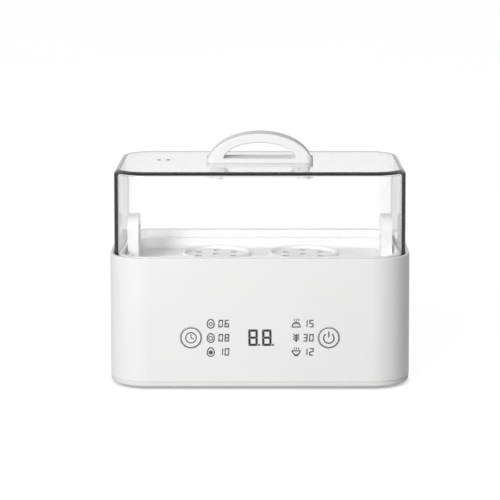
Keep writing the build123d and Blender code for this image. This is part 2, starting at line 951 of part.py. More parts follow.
# Hollow of the tray
with BuildPart() as tray_space:
    with BuildSketch(Plane.XY.offset(tray_floor)):
        rim_outline(tray_wall_inset + tray_thickness)
    extrude(amount=2 * tray_depth)
    fillet(tray_space.edges().group_by(Axis.Z)[0], tray_corner_round)

# Egg tray: a shallow basin with five ringed wells, steam holes and slots, and a lug at each end
slot_turns = {0: 0, 1: 0, 2: steam_slot_turn, 4: -steam_slot_turn}
hole_spread = tray_thickness * tan(radians(steam_hole_taper))
with BuildPart() as egg_tray:
    with BuildSketch(Plane.XY.offset(tray_under)):
        rim_outline(tray_wall_inset)
    extrude(amount=tray_bottom - tray_under)
    fillet(egg_tray.edges().group_by(Axis.Z)[0], tray_corner_round + tray_thickness)
    with BuildSketch(Plane.XY.offset(tray_bottom)):
        rim_outline(tray_inset)
    extrude(amount=tray_thickness)
    add(tray_space.part, mode=Mode.SUBTRACT)
    with Locations(*[(x, y, 0) for x, y in well_places]):
        add(well_ridges.part)
    with BuildSketch(Plane.XY.offset(tray_under)):
        with Locations(*well_places):
            Circle(steam_hole_radius + hole_spread)
            with PolarLocations(steam_ring_radius, 6, start_angle=90):
                Circle(steam_hole_radius + hole_spread)
    extrude(amount=tray_thickness, taper=steam_hole_taper, mode=Mode.SUBTRACT)
    with BuildSketch(Plane.XY.offset(tray_under)):
        for well, turn in slot_turns.items():
            x, y = well_places[well]
            with Locations(Location((x, y, 0), (0, 0, turn))):
                with Locations((0, steam_slot_ring)):
                    SlotOverall(steam_slot_length, steam_slot_width)
    extrude(amount=tray_thickness + tray_depth, mode=Mode.SUBTRACT)
    for side in (-1, 1):
        lug_start = side * (lug_outer - lug_thickness / 2) - lug_thickness / 2
        with BuildSketch(Plane.YZ.offset(lug_start)):
            with Locations((0, tray_bottom)):
                Rectangle(
                    lug_width,
                    lug_height + tray_thickness,
                    align=(Align.CENTER, Align.MIN),
                )
        extrude(amount=lug_thickness)
    fillet(egg_tray.edges().filter_by(Axis.X).group_by(Axis.Z)[-1], lug_round)
    lug_hole_height = tray_top + lug_height - lug_opening_drop - lug_opening_height / 2
    for side in (-1, 1):
        lug_start = side * (lug_outer - lug_thickness / 2) - lug_thickness / 2
        with BuildSketch(Plane.YZ.offset(lug_start)):
            with Locations((0, lug_hole_height)):
                SlotOverall(lug_opening_width, lug_opening_height)
        extrude(amount=lug_thickness, mode=Mode.SUBTRACT)
    lug_inner = lug_outer - lug_thickness
    lug_root = rim_half_width - tray_wall_inset - tray_thickness
    for side in (-1, 1):
        with BuildSketch(Plane.XY.offset(tray_floor)):
            with Locations((side * (lug_inner + lug_root) / 2, 0)):
                Rectangle(lug_root - lug_inner, lug_width)
        extrude(amount=tray_depth)

# Clear lid with two steam vents and the screw holes of its handle
with BuildPart() as lid_space:
    with BuildSketch(Plane.XY.offset(lid_bottom)):
        rim_outline(lid_inset + lid_wall)
    extrude(amount=lid_under - lid_bottom, taper=lid_draft)
    fillet(lid_space.edges().group_by(Axis.Z)[-1], lid_inner_round)

with BuildPart() as lid_shell:
    with BuildSketch(Plane.XY.offset(lid_bottom)):
        rim_outline(lid_inset)
    extrude(amount=lid_top - lid_bottom, taper=lid_draft)
    fillet(lid_shell.edges().group_by(Axis.Z)[-1], lid_edge_round)
    add(lid_space.part, mode=Mode.SUBTRACT)
    with BuildSketch(Plane.XY.offset(lid_top)):
        with Locations((vent_x, vent_y)):
            with GridLocations(vent_pitch, 0, 2, 1):
                Circle(vent_radius)
        with GridLocations(handle_screw_pitch, 0, 2, 1):
            Circle(handle_screw_radius + fit_gap)
    extrude(amount=-2 * lid_wall, mode=Mode.SUBTRACT)

# Handle arch between two ellipses, thick at its feet and slim at the crown
arch_base = handle_foot
arch_centre = handle_crown - arch_height
opening_centre = handle_crown - handle_crown_thickness - opening_height
with BuildPart() as handle_arch:
    with BuildSketch(Plane.XZ.offset(-handle_depth / 2)):
        with Locations((0, arch_centre)):
            Ellipse(arch_half_length, arch_height)
        with Locations((0, opening_centre)):
            Ellipse(opening_half_length, opening_height, mode=Mode.SUBTRACT)
        with Locations((0, arch_base)):
            Rectangle(
                2 * handle_length,
                2 * handle_rise,
                align=(Align.CENTER, Align.MIN),
                mode=Mode.INTERSECT,
            )
    extrude(amount=handle_depth)
    arch_sides = handle_arch.faces().filter_by(Axis.Y)
    arch_edges = arch_sides.edges().filter_by(GeomType.ELLIPSE)
    fillet(arch_edges, handle_edge_round)
    with BuildSketch(Plane.XY.offset(arch_base)):
        RectangleRounded(handle_length, handle_depth, handle_corner_round)
    extrude(amount=handle_rise, mode=Mode.INTERSECT)
    with BuildSketch(Plane.XY.offset(arch_base)):
        with GridLocations(handle_screw_pitch, 0, 2, 1):
            Circle(handle_screw_radius + fit_gap)
    extrude(amount=handle_screw_reach + seat_gap, mode=Mode.SUBTRACT)

# Plate between the arch and the lid
with BuildPart() as handle_base:
    with BuildSketch(Plane.XY.offset(lid_top)):
        RectangleRounded(handle_length, handle_depth, handle_corner_round)
        with GridLocations(handle_screw_pitch, 0, 2, 1):
            Circle(handle_screw_radius + fit_gap, mode=Mode.SUBTRACT)
    extrude(amount=handle_plate_thickness)

# Clamp plate under the lid with a boss for each screw
boss_bottom = lid_under - clamp_boss_drop
screw_head_seat = boss_bottom + clamp_boss_recess
boss_bore = clamp_boss_radius - clamp_boss_wall
with BuildPart() as clamp_plate:
    with BuildSketch(Plane.XY.offset(lid_under - clamp_plate_thickness)):
        SlotOverall(handle_length, clamp_plate_depth)
    extrude(amount=clamp_plate_thickness)
    with BuildSketch(Plane.XY.offset(boss_bottom)):
        with GridLocations(handle_screw_pitch, 0, 2, 1):
            Circle(clamp_boss_radius)
    extrude(amount=clamp_boss_drop)
    with BuildSketch(Plane.XY.offset(boss_bottom)):
        with GridLocations(handle_screw_pitch, 0, 2, 1):
            Circle(handle_screw_radius + fit_gap)
    extrude(amount=clamp_boss_drop, mode=Mode.SUBTRACT)
    with BuildSketch(Plane.XY.offset(boss_bottom)):
        with GridLocations(handle_screw_pitch, 0, 2, 1):
            Circle(boss_bore)
    extrude(amount=screw_head_seat - boss_bottom, mode=Mode.SUBTRACT)

# Screws of the handle and the plugs that cover their heads
handle_screw_places = [(-handle_screw_pitch / 2, 0), (handle_screw_pitch / 2, 0)]
handle_screws = screws_up(
    handle_screw_places,
    screw_head_seat,
    handle_screw_radius,
    handle_foot + handle_screw_reach - screw_head_seat,
    boss_bore - seat_gap,
    screw_head_height,
)

with BuildPart() as screw_caps:
    with Locations(*[(x, y, boss_bottom) for x, y in handle_screw_places]):
        Cylinder(
            boss_bore - fit_gap,
            clamp_boss_recess - screw_head_height - seat_gap,
            align=(Align.CENTER, Align.CENTER, Align.MIN),
        )

# One file for each piece
pieces = {
    "outer_shell": outer_shell,
    "inner_liner": inner_liner,
    "liner_screws": liner_screws,
    "plate_gasket": plate_gasket,
    "heating_plate": heating_plate,
    "heating_tube": heating_tube,
    "plate_brackets": plate_brackets,
    "plate_nuts": plate_nuts,
    "thermostat": thermostat,
    "thermostat_clip": thermostat_clip,
    "thermal_fuse": thermal_fuse,
    "ntc_probe": ntc_probe,
    "left_key": left_key,
    "right_key": right_key,
    "left_plunger": left_plunger,
    "right_plunger": right_plunger,
    "left_switch": left_switch,
    "right_switch": right_switch,
    "control_board": control_board,
    "board_screws": board_screws,
    "led_display": led_display,
    "indicator_leds": indicator_leds,
    "lamp_frame": lamp_frame,
    "controller_chip": controller_chip,
    "buzzer": buzzer,
    "base_plate": base_plate,
    "base_screws": base_screws,
    "rubber_feet": rubber_feet,
    "power_board": power_board,
    "power_screws": power_screws,
    "relay": relay,
    "transformer": transformer,
    "film_capacitor": film_capacitor,
    "smoothing_capacitor": smoothing_capacitor,
    "terminal_block": terminal_block,
    "cable_headers": cable_headers,
    "ribbon_cable": ribbon_cable,
    "heater_leads": heater_leads,
    "cord_gland": cord_gland,
    "egg_tray": egg_tray,
    "lid_shell": lid_shell,
    "handle_arch": handle_arch,
    "handle_base": handle_base,
    "clamp_plate": clamp_plate,
    "handle_screws": handle_screws,
    "screw_caps": screw_caps,
}
for name, piece in pieces.items():
    piece.part.label = name
    export_step(piece.part, f"parts/{name}.step")
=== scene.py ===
import bpy
import bmesh
from math import cos, pi, radians, sin, tan
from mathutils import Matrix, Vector


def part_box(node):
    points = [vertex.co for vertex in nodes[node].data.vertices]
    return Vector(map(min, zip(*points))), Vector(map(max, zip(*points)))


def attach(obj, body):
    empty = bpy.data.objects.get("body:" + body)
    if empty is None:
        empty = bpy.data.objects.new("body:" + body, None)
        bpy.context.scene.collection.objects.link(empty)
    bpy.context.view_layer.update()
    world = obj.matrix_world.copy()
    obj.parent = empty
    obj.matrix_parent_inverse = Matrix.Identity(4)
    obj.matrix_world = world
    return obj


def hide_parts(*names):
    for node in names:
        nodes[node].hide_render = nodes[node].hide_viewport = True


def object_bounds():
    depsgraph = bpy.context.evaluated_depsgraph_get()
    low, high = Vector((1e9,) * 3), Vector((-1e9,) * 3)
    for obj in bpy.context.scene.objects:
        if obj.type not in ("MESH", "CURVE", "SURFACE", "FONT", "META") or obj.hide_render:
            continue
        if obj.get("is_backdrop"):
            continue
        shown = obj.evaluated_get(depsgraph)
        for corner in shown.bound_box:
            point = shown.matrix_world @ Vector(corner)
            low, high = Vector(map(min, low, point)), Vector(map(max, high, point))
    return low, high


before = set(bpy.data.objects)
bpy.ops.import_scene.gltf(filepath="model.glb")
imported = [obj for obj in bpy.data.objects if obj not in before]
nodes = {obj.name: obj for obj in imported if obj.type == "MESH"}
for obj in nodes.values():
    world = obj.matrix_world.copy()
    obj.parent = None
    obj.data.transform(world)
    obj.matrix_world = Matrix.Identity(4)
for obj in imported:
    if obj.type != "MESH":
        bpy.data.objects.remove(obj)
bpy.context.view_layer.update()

# ---------------------------------------------------------------- sizes in millimetres


def node_box(name):
    """Opposite corners of a CAD node's box."""
    return [corner * 1000 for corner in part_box(name)]


body_width, body_depth, body_radius = 204, 117, 26
corner_x, corner_y = body_width / 2 - body_radius, body_depth / 2 - body_radius
draft = tan(radians(0.5))
shell_low = node_box("outer_shell")[0].z
lid_box = node_box("lid_shell")
lid_low, lid_high = lid_box[0].z, lid_box[1].z
lid_side = body_width / 2 - lid_box[1].x
lid_wall, lid_round, lid_inner_round = 2.5, 4, 2
vent_radius, vent_y, vents_x = 1.4, 7, (-69.6, -63.4)
handle_screw_radius, handle_screws_x = 1.8, (-30, 30)

# ---------------------------------------------------------------- node trees


def add_node(tree, kind, values=None):
    node = tree.nodes.new("ShaderNode" + kind)
    for socket, value in (values or {}).items():
        node.inputs[socket].default_value = value
    return node


def calculated(tree, operation, a, b=None):
    """Result of a Math node, whose inputs are sockets or numbers."""
    node = add_node(tree, "Math")
    node.operation = operation
    for socket, value in zip(node.inputs, (a, b)):
        if isinstance(value, (int, float)):
            socket.default_value = value
        elif value is not None:
            tree.links.new(value, socket)
    return node.outputs[0]


def seen_directly(tree):
    """1 for rays from the eye, in gloss or through clear pieces, and 0 for light on the object."""
    path = add_node(tree, "LightPath").outputs
    eye_or_gloss = calculated(tree, "MAXIMUM", path["Is Camera Ray"], path["Is Glossy Ray"])
    return calculated(tree, "MAXIMUM", eye_or_gloss, path["Is Transmission Ray"])


class Nodes:
    """A material with a Principled shader, painted by object coordinates in metres."""

    def __init__(self, name):
        self.mat = bpy.data.materials.new(name)
        self.mat.use_nodes = True
        self.tree = self.mat.node_tree
        self.tree.nodes.clear()
        self.out = self.add("OutputMaterial")
        self.shader = self.add("BsdfPrincipled")
        self.link(self.shader.outputs[0], self.out.inputs["Surface"])
        self.coords = self.add("TexCoord").outputs["Object"]

    def add(self, kind, values=None):
        return add_node(self.tree, kind, values)

    def link(self, a, b):
        self.tree.links.new(a, b)

    def put(self, socket, value):
        target = self.shader.inputs[socket]
        if isinstance(value, (int, float)):
            target.default_value = value
        elif isinstance(value, tuple):
            target.default_value = (*value, 1.0)
        else:
            self.link(value, target)

    def noise(self, scale, detail=3.0, rough=0.55, stretch=None):
        node = self.add("TexNoise", {"Scale": scale, "Detail": detail, "Roughness": rough})
        place = self.coords
        if stretch:
            mapping = self.add("Mapping", {"Scale": stretch})
            self.link(self.coords, mapping.inputs["Vector"])
            place = mapping.outputs[0]
        self.link(place, node.inputs["Vector"])
        return node.outputs["Fac"]

    def wave(self, scale, direction, distortion=0.0):
        node = self.add("TexWave", {"Scale": scale, "Distortion": distortion})
        node.bands_direction = direction
        self.link(self.coords, node.inputs["Vector"])
        return node.outputs["Fac"]

    def cells(self, scale, feature="F1"):
        node = self.add("TexVoronoi", {"Scale": scale})
        node.feature = feature
        self.link(self.coords, node.inputs["Vector"])
        return node.outputs["Distance"]

    def ramp(self, value, stops):
        """Tones or colours at places from 0 to 1."""
        node = self.add("ValToRGB")
        band = node.color_ramp
        while len(band.elements) < len(stops):
            band.elements.new(0.5)
        for element, (place, colour) in zip(band.elements, stops):
            element.position = place
            rgb = colour if isinstance(colour, tuple) else (colour,) * 3
            element.color = (*rgb, 1.0)
        self.link(value, node.inputs["Fac"])
        return node.outputs["Color"]

    def mapped(self, value, ends):
        node = self.add("MapRange", ends)
        self.link(value, node.inputs["Value"])
        return node.outputs["Result"]

    def spread(self, value, low, high):
        """Takes 0 to 1 onto low to high."""
        return self.mapped(value, {"To Min": low, "To Max": high})

    def above(self, value, low, high):
        """Takes low to high onto 0 to 1."""
        return self.mapped(value, {"From Min": low, "From Max": high})

    def math(self, operation, a, b=None):
        return calculated(self.tree, operation, a, b)

    def vector(self, operation, a, b=(0, 0, 0)):
        node = self.add("VectorMath")
        node.operation = operation
        self.link(a, node.inputs[0])
        node.inputs[1].default_value = b
        return node.outputs["Value" if operation == "LENGTH" else "Vector"]

    def split(self, value):
        node = self.add("SeparateXYZ")
        self.link(value, node.inputs[0])
        return node.outputs

    def past_corners(self):
        """Place in plan from the centres of the four rounded corners, outwards."""
        plan = self.vector("MULTIPLY", self.vector("ABSOLUTE", self.coords), (1, 1, 0))
        return self.vector("SUBTRACT", plan, (corner_x / 1000, corner_y / 1000, 0))

    def mix(self, fac, a, b):
        """Colour between a and b, each a socket or a colour."""
        node = self.add("Mix")
        node.data_type = "RGBA"
        self.link(fac, node.inputs[0])
        for socket, value in ((node.inputs[6], a), (node.inputs[7], b)):
            if isinstance(value, tuple):
                socket.default_value = (*value, 1.0)
            else:
                self.link(value, socket)
        return node.outputs[2]

    def shaders(self, fac, a, b):
        """Shader a where fac is 0, and b where it is 1."""
        node = self.add("MixShader")
        for socket, value in zip(node.inputs, (fac, a, b)):
            self.link(value, socket)
        return node.outputs[0]

    def bump(self, height, strength, distance):
        node = self.add("Bump", {"Strength": strength, "Distance": distance})
        self.link(height, node.inputs["Height"])
        self.put("Normal", node.outputs["Normal"])


# ---------------------------------------------------------------- materials


def tones(colour, change):
    low = tuple(max(0.0, c * (1 - change)) for c in colour)
    high = tuple(min(1.0, c * (1 + change)) for c in colour)
    return (0.3, low), (0.7, high)


def moulded(name, colour, rough, change=0.012, grain=0.06, grain_size=2600, gloss=0.5):
    """Injection-moulded plastic: cloudy tone, spark-eroded grain and uneven gloss."""
    n = Nodes(name)
    n.put("Base Color", n.ramp(n.noise(26, 4), tones(colour, change)))
    n.put("Roughness", n.spread(n.noise(140, 4), rough - 0.05, rough + 0.05))
    n.put("Specular IOR Level", gloss)
    n.bump(n.noise(grain_size, 2), grain, 0.0001)
    return n


def metal(name, colour, rough, stretch, change=0.08):
    """Drawn or brushed metal with fine lines along one way."""
    n = Nodes(name)
    lines = n.noise(120, 6, 0.7, stretch)
    n.put("Base Color", n.ramp(lines, tones(colour, change)))
    n.put("Metallic", 1.0)
    n.put("Roughness", n.spread(lines, rough - 0.08, rough + 0.1))
    n.bump(lines, 0.12, 0.0002)
    return n


def board_material():
    """Green solder mask with copper lines under it and bare pads."""
    n = Nodes("circuit_board")
    lines = n.cells(160, "DISTANCE_TO_EDGE")
    tracks = n.ramp(lines, ((0.06, (0.012, 0.09, 0.04)), (0.09, (0.02, 0.19, 0.07))))
    pads = n.ramp(n.cells(230), ((0.1, 1.0), (0.14, 0.0)))
    n.put("Base Color", n.mix(pads, tracks, (0.6, 0.55, 0.42)))
    n.put("Roughness", n.spread(n.noise(300), 0.25, 0.4))
    n.bump(lines, 0.1, 0.0002)
    return n


def ribbon_material():
    """Flat cable whose cores show as ridges across its width."""
    n = Nodes("flat_cable")
    cores = n.wave(130, "X")
    n.put("Base Color", n.ramp(cores, ((0.2, (0.3, 0.31, 0.32)), (0.8, (0.5, 0.51, 0.52)))))
    n.put("Roughness", n.spread(n.noise(200), 0.4, 0.55))
    n.bump(cores, 0.5, 0.0004)
    return n


def tape_material():
    """Winding tape laid in turns."""
    n = Nodes("winding_tape")
    turns = n.wave(60, "Z", 0.4)
    n.put("Base Color", n.ramp(turns, ((0.1, (0.42, 0.25, 0.02)), (0.9, (0.62, 0.42, 0.05)))))
    n.put("Roughness", n.spread(n.noise(180), 0.3, 0.45))
    n.bump(turns, 0.3, 0.0003)
    return n


def print_material(name, shade):
    """Screen-printed ink with a slightly uneven tone."""
    n = Nodes(name)
    n.put("Base Color", n.ramp(n.noise(900, 3), tones((shade,) * 3, 0.12)))
    n.put("Roughness", n.spread(n.noise(500), 0.45, 0.6))
    n.put("Specular IOR Level", 0.3)
    return n


def clear_material():
    """Clear plastic with painted shade: its edges, its rounded corners and the light that turns back
    inside the wall are painted dark.
    """
    n = Nodes("clear_lid")
    ior = 1.5
    facing = n.add("LayerWeight", {"Blend": 0.5}).outputs["Facing"]
    geometry = n.add("NewGeometry").outputs
    level = n.math("GREATER_THAN", n.math("ABSOLUTE", n.split(geometry["Normal"])["Z"]), 0.5)

    # Painted shade: the colour darkens towards grazing angles, where the way through the wall is
    # longer, and more on the walls than on the top
    top_painted_shade = n.ramp(facing, (
        (0.02, 1.0), (0.12, 0.96), (0.7, 0.94), (0.83, 0.82), (0.93, 0.3), (1.0, 0.02),
    ))
    side_painted_shade = n.ramp(facing, (
        (0.02, 1.0), (0.12, 0.96), (0.55, 0.94), (0.75, 0.72), (0.9, 0.3), (1.0, 0.0),
    ))
    n.put("Base Color", n.mix(level, side_painted_shade, top_painted_shade))
    n.put("Transmission Weight", 1.0)
    n.put("IOR", ior)
    n.put("Roughness", n.ramp(n.noise(60, 5), ((0.5, 0.0), (0.85, 0.03))))

    # Painted shade where light meets a back face so flatly that it turns back inside the wall
    fresnel = n.add("Fresnel", {"IOR": ior}).outputs[0]
    turned_back = n.math("MULTIPLY", n.math("GREATER_THAN", fresnel, 0.7), geometry["Backfacing"])

    # Painted shade on the rounded corners of the outer skin, where the wall is seen lengthwise
    corner_run, skin_run = 0.003, 0.0004
    past = n.past_corners()
    mid_wall = (body_radius - lid_side - lid_wall / 2) / 1000
    away = n.vector("LENGTH", n.vector("MAXIMUM", past))
    sides = n.split(past)
    in_corner = n.above(n.math("MINIMUM", sides["X"], sides["Y"]), 0, corner_run)
    on_outer_skin = n.above(away, mid_wall, mid_wall + skin_run)
    lengthwise = n.ramp(facing, ((0.4, 0.0), (0.62, 0.7), (1.0, 0.75)))
    front, steep = n.spread(geometry["Backfacing"], 1, 0), n.spread(level, 1, 0)
    corner = in_corner
    for share in (on_outer_skin, lengthwise, front, steep):
        corner = n.math("MULTIPLY", corner, share)

    # A near-black gloss, painted shade on both of these masks
    painted_shade_gloss = n.add("BsdfGlossy", {"Color": (0.005, 0.005, 0.005, 1.0), "Roughness": 0.0})
    wall = n.shaders(n.math("MAXIMUM", turned_back, corner), n.shader.outputs[0], painted_shade_gloss.outputs[0])

    # Light on other pieces passes straight through
    path = n.add("LightPath").outputs
    through = n.add("BsdfTransparent", {"Color": (0.99, 0.99, 0.99, 1.0)})
    lighting = n.math("MAXIMUM", path["Is Shadow Ray"], path["Is Diffuse Ray"])
    n.link(n.shaders(lighting, wall, through.outputs[0]), n.out.inputs["Surface"])
    return n


white_shell = moulded("white_shell", (0.86, 0.86, 0.855), 0.42, 0.008, 0.05)
white_handle = moulded("white_handle", (0.93, 0.93, 0.925), 0.6, 0.01, 0.06, 2200, 0.25)
# The tray and liner white is painted lighter than the shell's, as painted light inside the lid
white_tray = moulded("white_tray", (0.96, 0.96, 0.955), 0.24, 0.01, 0.03, 1900)
white_key = moulded("white_key", (0.87, 0.87, 0.865), 0.36, 0.008, 0.03)
white_base = moulded("white_base", (0.8, 0.8, 0.795), 0.48, 0.012, 0.08, 1800)
milky = moulded("milky_plastic", (0.8, 0.79, 0.76), 0.3, 0.02, 0.03)
black = moulded("black_plastic", (0.03, 0.03, 0.033), 0.45, 0.2, 0.1, 1500)
blue = moulded("blue_case", (0.03, 0.09, 0.32), 0.35, 0.1, 0.05)
rubber = moulded("foot_rubber", (0.24, 0.245, 0.25), 0.75, 0.08, 0.35, 1200, 0.3)
silicone = moulded("seal_silicone", (0.68, 0.68, 0.66), 0.45, 0.03, 0.08, 900)
silicone.put("Subsurface Weight", 0.15)
silicone.put("Subsurface Scale", 0.002)
red_wire = moulded("lead_sleeve", (0.42, 0.03, 0.02), 0.5, 0.1, 0.1, 1500)
steel = metal("brushed_steel", (0.4, 0.4, 0.405), 0.32, (1, 60, 60), 0.3)
aluminium = metal("satin_aluminium", (0.7, 0.71, 0.72), 0.36, (1, 18, 18))
zinc = metal("zinc_screws", (0.5, 0.51, 0.53), 0.3, (6, 6, 6))
brass = metal("plain_brass", (0.55, 0.4, 0.17), 0.3, (6, 6, 6))
board = board_material()
ribbon = ribbon_material()
tape = tape_material()
clear = clear_material()
ink = print_material("grey_ink", 0.085)
digit_ink = print_material("display_segment", 0.022)

finish_of = {
    white_shell: ("outer_shell",),
    white_key: ("left_key", "right_key"),
    white_handle: ("handle_arch", "handle_base", "clamp_plate", "screw_caps"),
    white_tray: ("egg_tray", "inner_liner"),
    white_base: ("base_plate",),
    milky: ("indicator_leds", "lamp_frame"),
    black: (
        "left_switch", "right_switch", "led_display", "controller_chip", "buzzer",
        "smoothing_capacitor", "cable_headers", "left_plunger", "right_plunger",
    ),
    blue: ("relay", "terminal_block", "film_capacitor"),
    rubber: ("rubber_feet", "cord_gland"),
    silicone: ("plate_gasket",),
    red_wire: ("heater_leads",),
    steel: ("heating_plate",),
    aluminium: ("heating_tube", "thermostat", "thermostat_clip", "plate_brackets"),
    zinc: (
        "liner_screws", "base_screws", "board_screws", "power_screws",
        "handle_screws", "plate_nuts",
    ),
    brass: ("thermal_fuse", "ntc_probe"),
    board: ("control_board", "power_board"),
    ribbon: ("ribbon_cable",),
    tape: ("transformer",),
    clear: ("lid_shell",),
}
for finish, names in finish_of.items():
    for name in names:
        mesh = nodes[name].data
        mesh.materials.clear()
        mesh.materials.append(finish.mat)

# ---------------------------------------------------------------- mesh helpers


def new_mesh(name, verts, faces):
    """A mesh from vertices in millimetres."""
    mesh = bpy.data.meshes.new(name)
    mesh.from_pydata([tuple(c / 1000 for c in v) for v in verts], [], faces)
    return mesh


def in_scene(name, data):
    piece = bpy.data.objects.new(name, data)
    bpy.context.scene.collection.objects.link(piece)
    return piece


def shade(mesh, crease):
    """Smooth shading with sharp edges at turns above crease degrees."""
    mesh.shade_smooth()
    mesh.set_sharp_from_angle(angle=radians(crease))


def add_piece(name, verts, faces, finish, body):
    mesh = new_mesh(name, verts, faces)
    mesh.validate()
    mesh.materials.append(finish.mat)
    piece = in_scene(name, mesh)
    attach(piece, body)
    return piece


def outward(mesh):
    """Turns all faces outwards."""
    work = bmesh.new()
    work.from_mesh(mesh)
    bmesh.ops.recalc_face_normals(work, faces=work.faces)
    work.to_mesh(mesh)
    work.free()


def applied(piece, crease):
    """Works the piece's modifiers into its mesh."""
    graph = bpy.context.evaluated_depsgraph_get()
    mesh = bpy.data.meshes.new_from_object(piece.evaluated_get(graph))
    piece.modifiers.clear()
    piece.data = mesh
    shade(mesh, crease)


def lofted(rings, verts, faces):
    """Adds the skin through rings of equal length, closed by a cap at both ends."""
    count = len(rings[0])
    first = len(verts)
    last = first + (len(rings) - 1) * count
    for ring in rings:
        verts.extend(ring)
    for a in range(first, last, count):
        b = a + count
        for i in range(count):
            j = (i + 1) % count
            faces.append((a + i, a + j, b + j, b + i))
    faces.append(tuple(first + i for i in reversed(range(count))))
    faces.append(tuple(last + i for i in range(count)))


def rounded_ring(half_x, half_y, radius, z, steps=20):
    """Points of a rounded rectangle at height z, anticlockwise from the +X side."""
    points = []
    for quarter, (sx, sy) in enumerate(((1, 1), (-1, 1), (-1, -1), (1, -1))):
        for i in range(steps + 1):
            a = radians(90 * quarter + 90 * i / steps)
            points.append((
                sx * (half_x - radius) + radius * cos(a),
                sy * (half_y - radius) + radius * sin(a),
                z,
            ))
    return points


def cut_holes(piece, places, low, high, steps=32):
    """Round holes through a piece along Z, each given by x, y and radius."""
    verts, faces = [], []
    turn = [2 * pi * i / steps for i in range(steps)]
    for x, y, radius in places:
        circle = [(x + radius * cos(a), y + radius * sin(a)) for a in turn]
        lofted([[(px, py, z) for px, py in circle] for z in (low, high)], verts, faces)
    cutter = in_scene("cutter", new_mesh("cutter", verts, faces))
    step = piece.modifiers.new("holes", "BOOLEAN")
    step.operation = "DIFFERENCE"
    step.solver = "EXACT"
    step.object = cutter
    applied(piece, crease=30)
    bpy.data.objects.remove(cutter)


# ---------------------------------------------------------------- clear lid

wall_shares = (0.0, 0.004, 0.33, 0.66, 1.0)
edge_steps = 10
top_border = 0.4
hole_margin = 1


def lid_rings(inset, top, edge):
    """Rings of one skin of the lid, from its open edge up and over to the flat top."""
    rings = []

    def ring(more, z):
        total = inset + more
        half_x = body_width / 2 - total
        half_y = body_depth / 2 - total
        rings.append(rounded_ring(half_x, half_y, body_radius - total, z))

    rise = top - edge - lid_low
    lean = rise * draft
    for share in wall_shares:
        ring(share * lean, lid_low + share * rise)
    for i in range(1, edge_steps + 1):
        a = radians(90 * i / edge_steps)
        ring(lean + edge * (1 - cos(a)), top - edge + edge * sin(a))
    ring(lean + edge + top_border, top)
    return rings


outer = lid_rings(lid_side, lid_high, lid_round)
inner = lid_rings(lid_side + lid_wall, lid_high - lid_wall, lid_inner_round)
verts, faces = [], []
lofted(inner[::-1] + outer, verts, faces)
lid = add_piece("clear_lid", verts, faces, clear, "lid")
shade(lid.data, crease=30)
outward(lid.data)
vents = [(x, vent_y, vent_radius) for x in vents_x]
screw_holes = [(x, 0, handle_screw_radius) for x in handle_screws_x]
cut_holes(lid, vents + screw_holes, lid_high - lid_wall - hole_margin, lid_high + hole_margin)
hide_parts("lid_shell")

# ---------------------------------------------------------------- screws

screw_bodies = {
    "base_screws": "housing", "liner_screws": "housing", "handle_screws": "lid",
    "power_screws": "housing", "board_screws": "housing",
}
# Shares of the head's radius and, for depths, of its height
recess_arm, recess_half_width, recess_taper = 0.6, 0.16, 0.55
recess_depth, recess_mouth = 0.6, 0.03
head_profile = ((0.74, 0.03), (0.88, 0.12), (0.97, 0.32), (1.0, 0.6), (1.0, 1.0))
# Shares of the shank's radius
core_share, core_end_share, tip_share = 0.78, 0.55, 0.3
thread_pitch, rings_per_turn, run_out_turns = 1.25, 6, 1.5
# How near a point has to be to a screw's end, and to its head's full radius
end_nearness, rim_share = 0.01, 0.98


def islands(mesh):
    """Vertex places in millimetres of each separate solid of a mesh, met corners joined."""
    spot = {v.index: tuple(round(c * 1000, 3) for c in v.co) for v in mesh.vertices}
    ties = {place: set() for place in spot.values()}
    for edge in mesh.edges:
        a, b = (spot[k] for k in edge.vertices)
        ties[a].add(b)
        ties[b].add(a)
    seen, groups = set(), []
    for first in ties:
        if first in seen:
            continue
        group, queue = [], [first]
        seen.add(first)
        while queue:
            now = queue.pop()
            group.append(now)
            for other in ties[now] - seen:
                seen.add(other)
                queue.append(other)
        groups.append(group)
    return groups


def cross_reach(a, arm, half_width):
    """Distance from the middle to the outline of a cross recess at angle a."""
    c, s = max(abs(cos(a)), 1e-6), max(abs(sin(a)), 1e-6)
    return max(min(arm / c, half_width / s), min(half_width / c, arm / s))


def screw_rings(head, head_height, shank, length, steps=32):
    """Rings of a pan head screw with a cross recess and a rolled thread, along its axis."""
    angles = [2 * pi * i / steps for i in range(steps)]
    rings = []

    def ring(w, reach):
        rings.append([(reach(a) * cos(a), reach(a) * sin(a), w) for a in angles])

    def recess(a):
        return cross_reach(a, recess_arm * head, recess_half_width * head)

    ring(recess_depth * head_height, lambda a: recess_taper * recess(a))
    ring(recess_mouth * head_height, recess)
    for share, w in head_profile:
        ring(w * head_height, lambda a, share=share: share * head)
    core = core_share * shank
    ring(head_height, lambda a: core)
    count = int((length - head_height) / thread_pitch * rings_per_turn)
    for k in range(1, count):
        w = head_height + (length - head_height) * k / count
        fade = min(1.0, (length - w) / (run_out_turns * thread_pitch))

        def thread(a, w=w, fade=fade):
            turn = (w / thread_pitch - a / (2 * pi)) % 1
            ridge = max(0.0, 1 - 4 * abs(turn - 0.5))
            narrowed = core * (core_end_share + (1 - core_end_share) * fade)
            return narrowed + (shank - core) * fade * ridge

        ring(w, thread)
    ring(length, lambda a: tip_share * shank)
    return rings


